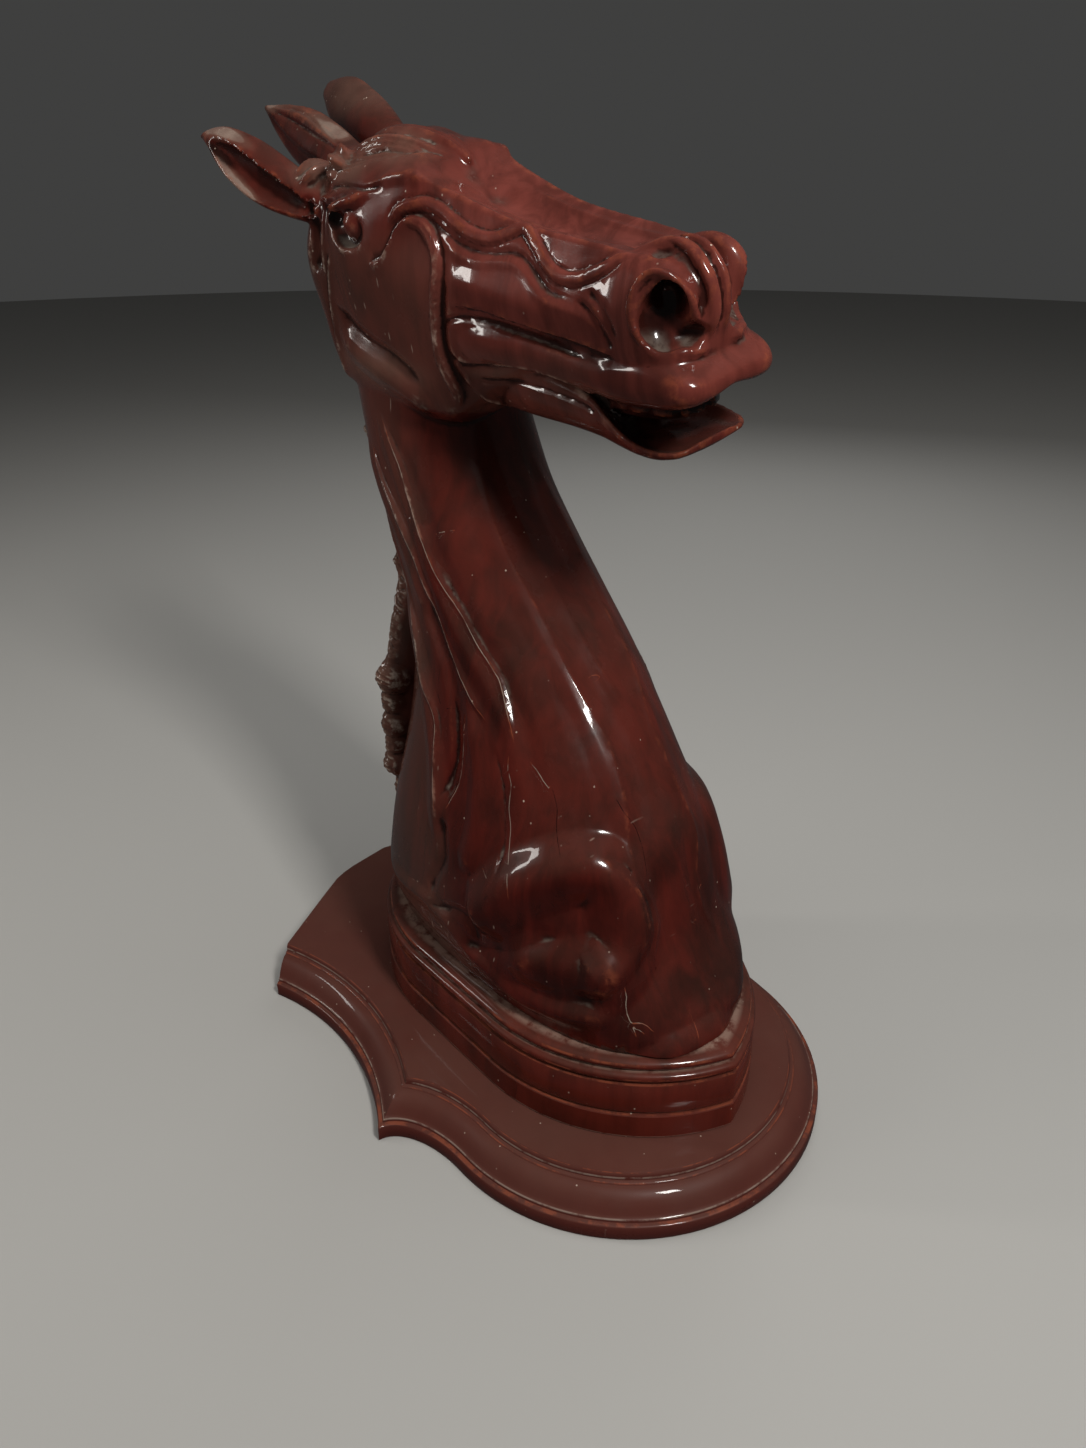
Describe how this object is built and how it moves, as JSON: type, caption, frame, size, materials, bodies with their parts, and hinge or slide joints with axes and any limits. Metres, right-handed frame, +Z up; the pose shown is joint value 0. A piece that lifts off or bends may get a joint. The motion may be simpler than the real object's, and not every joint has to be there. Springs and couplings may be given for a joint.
{
  "type": "carved wooden horse head",
  "caption": "Upright carved horse head and neck with open mouth and laid-back ears, on a boat-shaped moulded collar and a shield-shaped moulded base board.",
  "frame": {"origin": "on the floor, on the base board's underside, at the middle of the board's length and width", "axes": "+X the way the horse faces, +Y to the horse's left, +Z up"},
  "size_m": [0.8108, 0.551, 1.0451],
  "materials": {
    "carved_lacquered_wood": "high-gloss dark mahogany lacquer over carved hardwood, dusty in its hollows",
    "collar_lacquered_wood": "gloss dark mahogany lacquer, edges worn orange-red, dust on its top",
    "board_lacquered_wood": "satin to gloss dark mahogany lacquer, edges worn orange-red, fine specks and scratches"
  },
  "bodies": {
    "root": {"carved_horse_head": "carved_lacquered_wood", "moulded_collar": "collar_lacquered_wood", "base_board": "board_lacquered_wood"}
  },
  "joints": []
}
